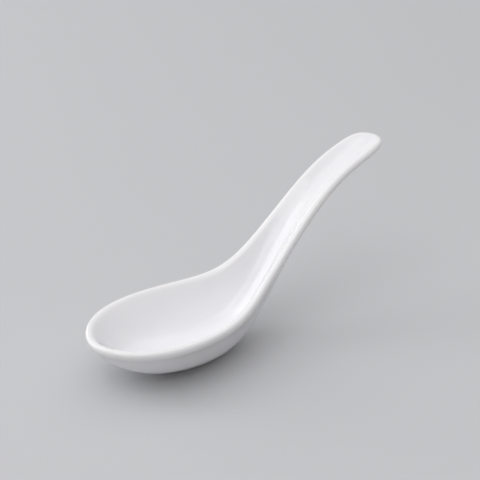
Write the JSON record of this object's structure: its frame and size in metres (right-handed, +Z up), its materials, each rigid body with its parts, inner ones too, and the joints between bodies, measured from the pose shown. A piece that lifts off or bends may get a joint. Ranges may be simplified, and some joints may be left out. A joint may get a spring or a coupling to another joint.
{
  "type": "chinese soup spoon",
  "caption": "Glazed porcelain soup spoon: deep oval bowl with flared walls, guttered handle rising in an S to a rounded end, low unglazed foot ring under the bowl.",
  "frame": {"origin": "on the table under the middle of the spoon's overall length, in its plane of symmetry", "axes": "+X from the bowl's tip to the handle's end, +Y across the spoon, +Z up from the table"},
  "size_m": [0.129, 0.0432, 0.0606],
  "materials": {
    "porcelain_body": "white fired porcelain body under the glaze",
    "bare_foot": "unglazed, matt, fine grained",
    "clear_glaze": "smooth glossy clear glaze on white"
  },
  "bodies": {
    "root": {"bowl": "porcelain_body", "handle": "porcelain_body", "foot_ring": "bare_foot", "glaze": "clear_glaze"}
  },
  "joints": []
}
